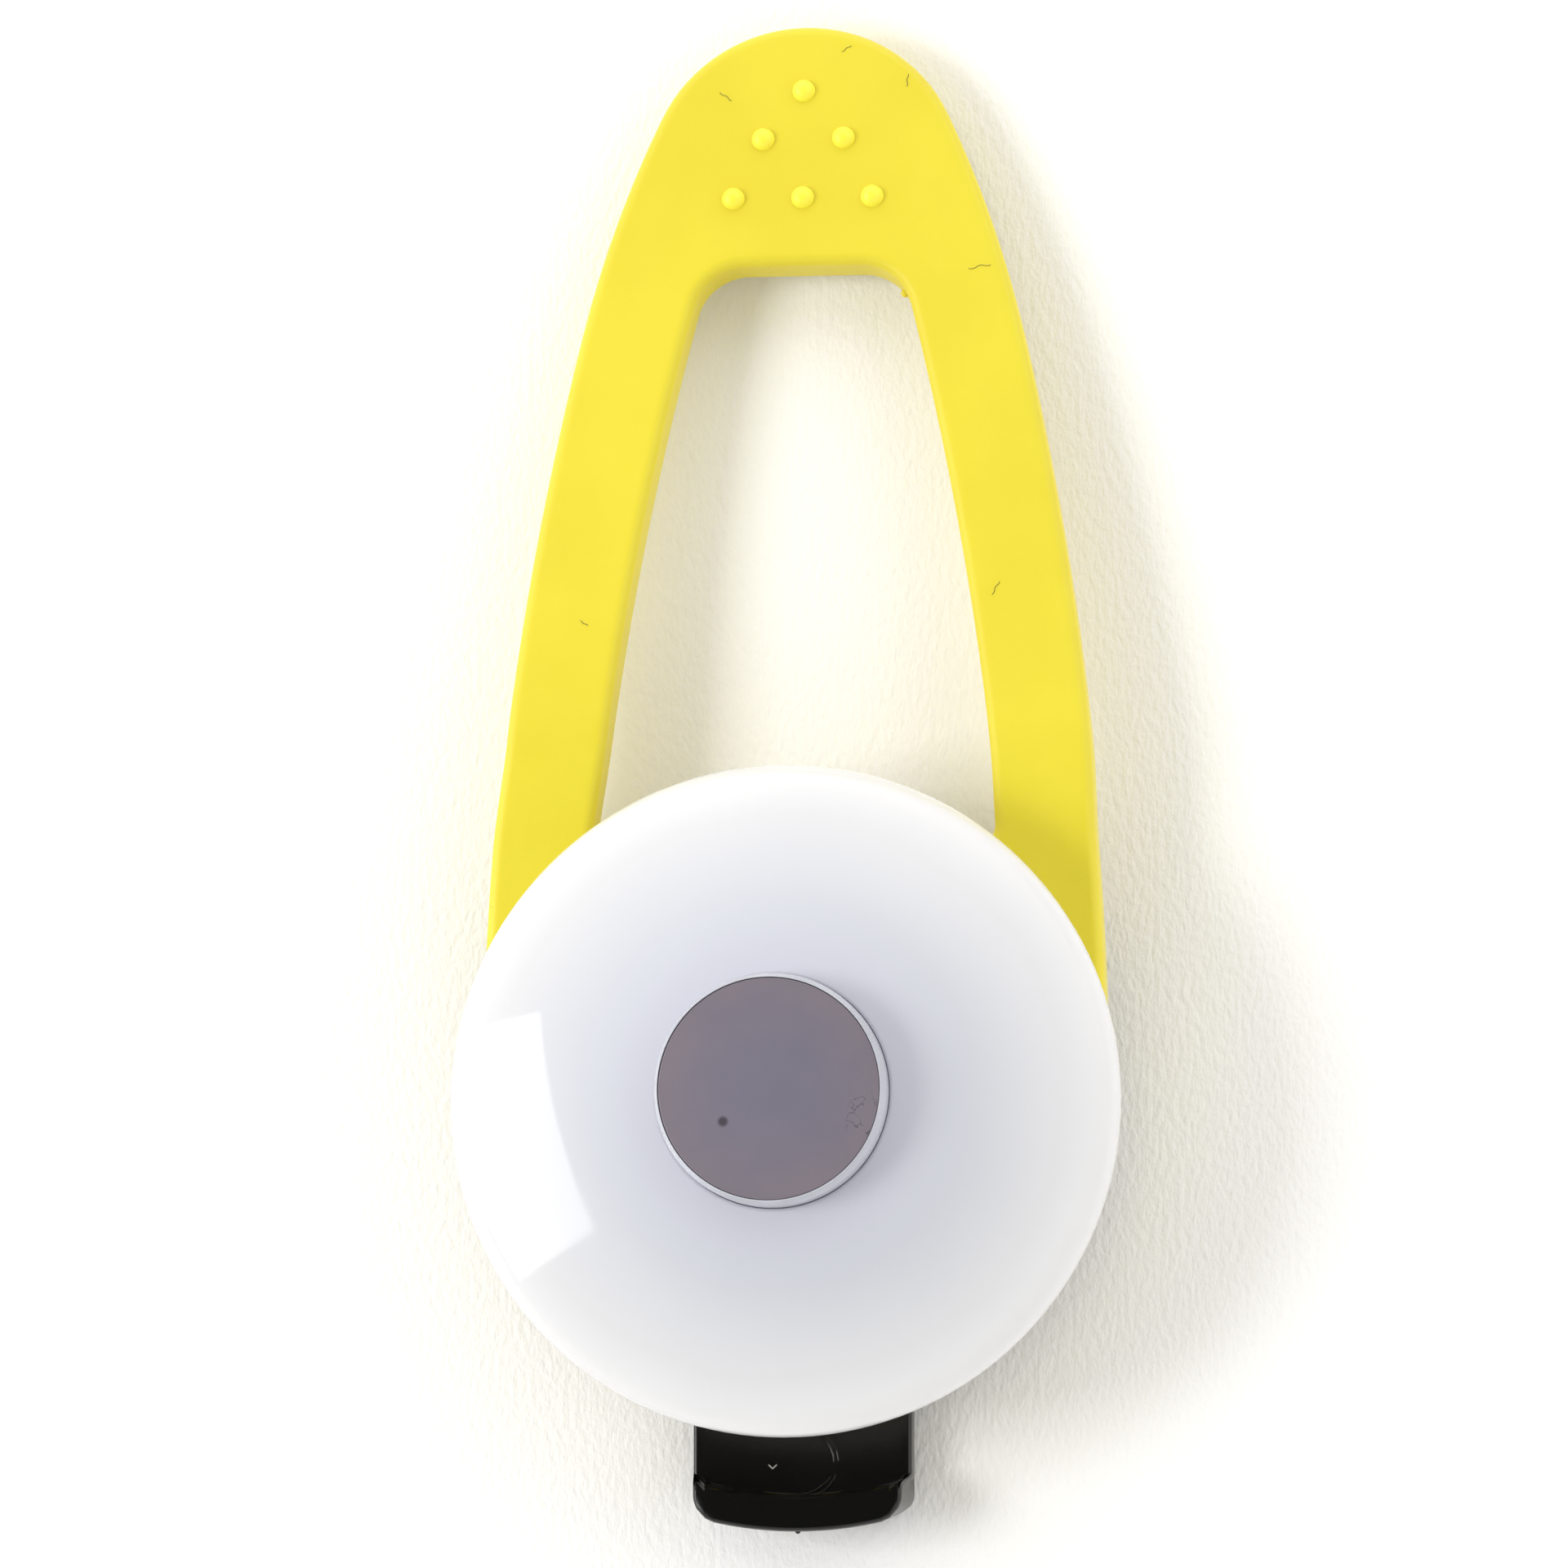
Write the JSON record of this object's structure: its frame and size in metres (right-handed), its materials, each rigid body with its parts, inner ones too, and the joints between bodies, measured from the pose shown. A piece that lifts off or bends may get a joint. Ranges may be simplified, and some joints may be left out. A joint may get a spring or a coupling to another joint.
{
  "type": "clip-on silicone strap safety light",
  "caption": "Domed clip-on safety light with a push-button centre, a silicone loop strap that stretches over a lipped hook, and a turn-off battery door.",
  "frame": {"origin": "on the lamp's axis, in the plane of its back face", "axes": "+Z out of the dome along the lamp's axis, +Y along the silicone strap toward its tip, +X to the right seen from the front with the tip up"},
  "size_m": [0.031, 0.0712, 0.0158],
  "materials": {
    "base_housing": "glossy black ABS",
    "battery_door": "satin black ABS",
    "door_seal": "black nitrile",
    "dome_lens": "glossy white translucent",
    "button_cap": "frosted clear-white",
    "button_disc": "satin grey-violet",
    "coin_cell_can": "nickel-plated",
    "coin_cell_gasket": "dark polypropylene",
    "coin_cell_cap": "nickel-plated",
    "coin_cell_core": "pressed powder and lithium",
    "negative_contact": "nickel-plated spring",
    "positive_contact": "nickel-plated spring",
    "circuit_board": "white solder mask on glass-epoxy",
    "control_chip": "black moulded package",
    "chip_leads": "tinned",
    "resistors": "black, tinned ends",
    "capacitor": "tan, tinned ends",
    "switch_body": "black nylon",
    "switch_cover": "stamped",
    "switch_legs": "tinned",
    "snap_dome": "spring steel",
    "switch_stem": "white acetal",
    "led_top": "white package",
    "led_top_lens": "yellow phosphor resin",
    "led_left": "white package",
    "led_left_lens": "yellow phosphor resin",
    "led_right": "white package",
    "led_right_lens": "yellow phosphor resin",
    "strap_collar": "bright yellow silicone, satin",
    "strap_arm_lower_left": "bright yellow silicone, satin",
    "strap_arm_lower_right": "bright yellow silicone, satin",
    "strap_arm_upper_left": "bright yellow silicone, satin",
    "strap_arm_upper_right": "bright yellow silicone, satin",
    "strap_tip": "bright yellow silicone, satin"
  },
  "bodies": {
    "lamp": {"base_housing": "base_housing", "dome_lens": "dome_lens", "strap_collar": "strap_collar", "circuit_board": "circuit_board", "led_top": "led_top", "led_top_lens": "led_top_lens", "led_left": "led_left", "led_left_lens": "led_left_lens", "led_right": "led_right", "led_right_lens": "led_right_lens", "control_chip": "control_chip", "chip_leads": "chip_leads", "resistors": "resistors", "capacitor": "capacitor", "switch_body": "switch_body", "switch_cover": "switch_cover", "switch_legs": "switch_legs", "snap_dome": "snap_dome", "coin_cell_can": "coin_cell_can", "coin_cell_gasket": "coin_cell_gasket", "coin_cell_cap": "coin_cell_cap", "coin_cell_core": "coin_cell_core", "negative_contact": "negative_contact", "positive_contact": "positive_contact"},
    "button": {"button_cap": "button_cap", "button_disc": "button_disc", "switch_stem": "switch_stem"},
    "door": {"battery_door": "battery_door", "door_seal": "door_seal"},
    "strap_near": {"strap_arm_lower_left": "strap_arm_lower_left", "strap_arm_lower_right": "strap_arm_lower_right"},
    "strap_middle": {"strap_arm_upper_left": "strap_arm_upper_left", "strap_arm_upper_right": "strap_arm_upper_right"},
    "strap_far": {"strap_tip": "strap_tip"}
  },
  "joints": [
    {"name": "button_press", "type": "slide", "parent": "lamp", "child": "button", "axis": [0, 0, -1], "range_m": [0, 0.0003], "stiffness_N_per_m": 4000, "springref_m": -0.0001, "deforming": ["snap_dome"]},
    {"name": "door_turn", "type": "hinge", "parent": "lamp", "child": "door", "pos_m": [0, 0, 0.0007], "axis": [0, 0, -1], "range_deg": [0, 45]},
    {"name": "strap_bend_near", "type": "hinge", "parent": "lamp", "child": "strap_near", "pos_m": [0, 0.0175, 0.0034], "axis": [-1, 0, 0], "range_deg": [0, 60], "stiffness_Nm_per_rad": 0.003},
    {"name": "strap_bend_middle", "type": "hinge", "parent": "strap_near", "child": "strap_middle", "pos_m": [0, 0.02645, 0.0025], "axis": [-1, 0, 0], "range_deg": [0, 60], "stiffness_Nm_per_rad": 0.003},
    {"name": "strap_bend_far", "type": "hinge", "parent": "strap_middle", "child": "strap_far", "pos_m": [0, 0.03541, 0.0016], "axis": [-1, 0, 0], "range_deg": [0, 60], "stiffness_Nm_per_rad": 0.003}
  ],
  "couplings": [
    {"joint": "strap_bend_middle", "follows": "strap_bend_near", "ratio": 1},
    {"joint": "strap_bend_far", "follows": "strap_bend_near", "ratio": 1}
  ]
}
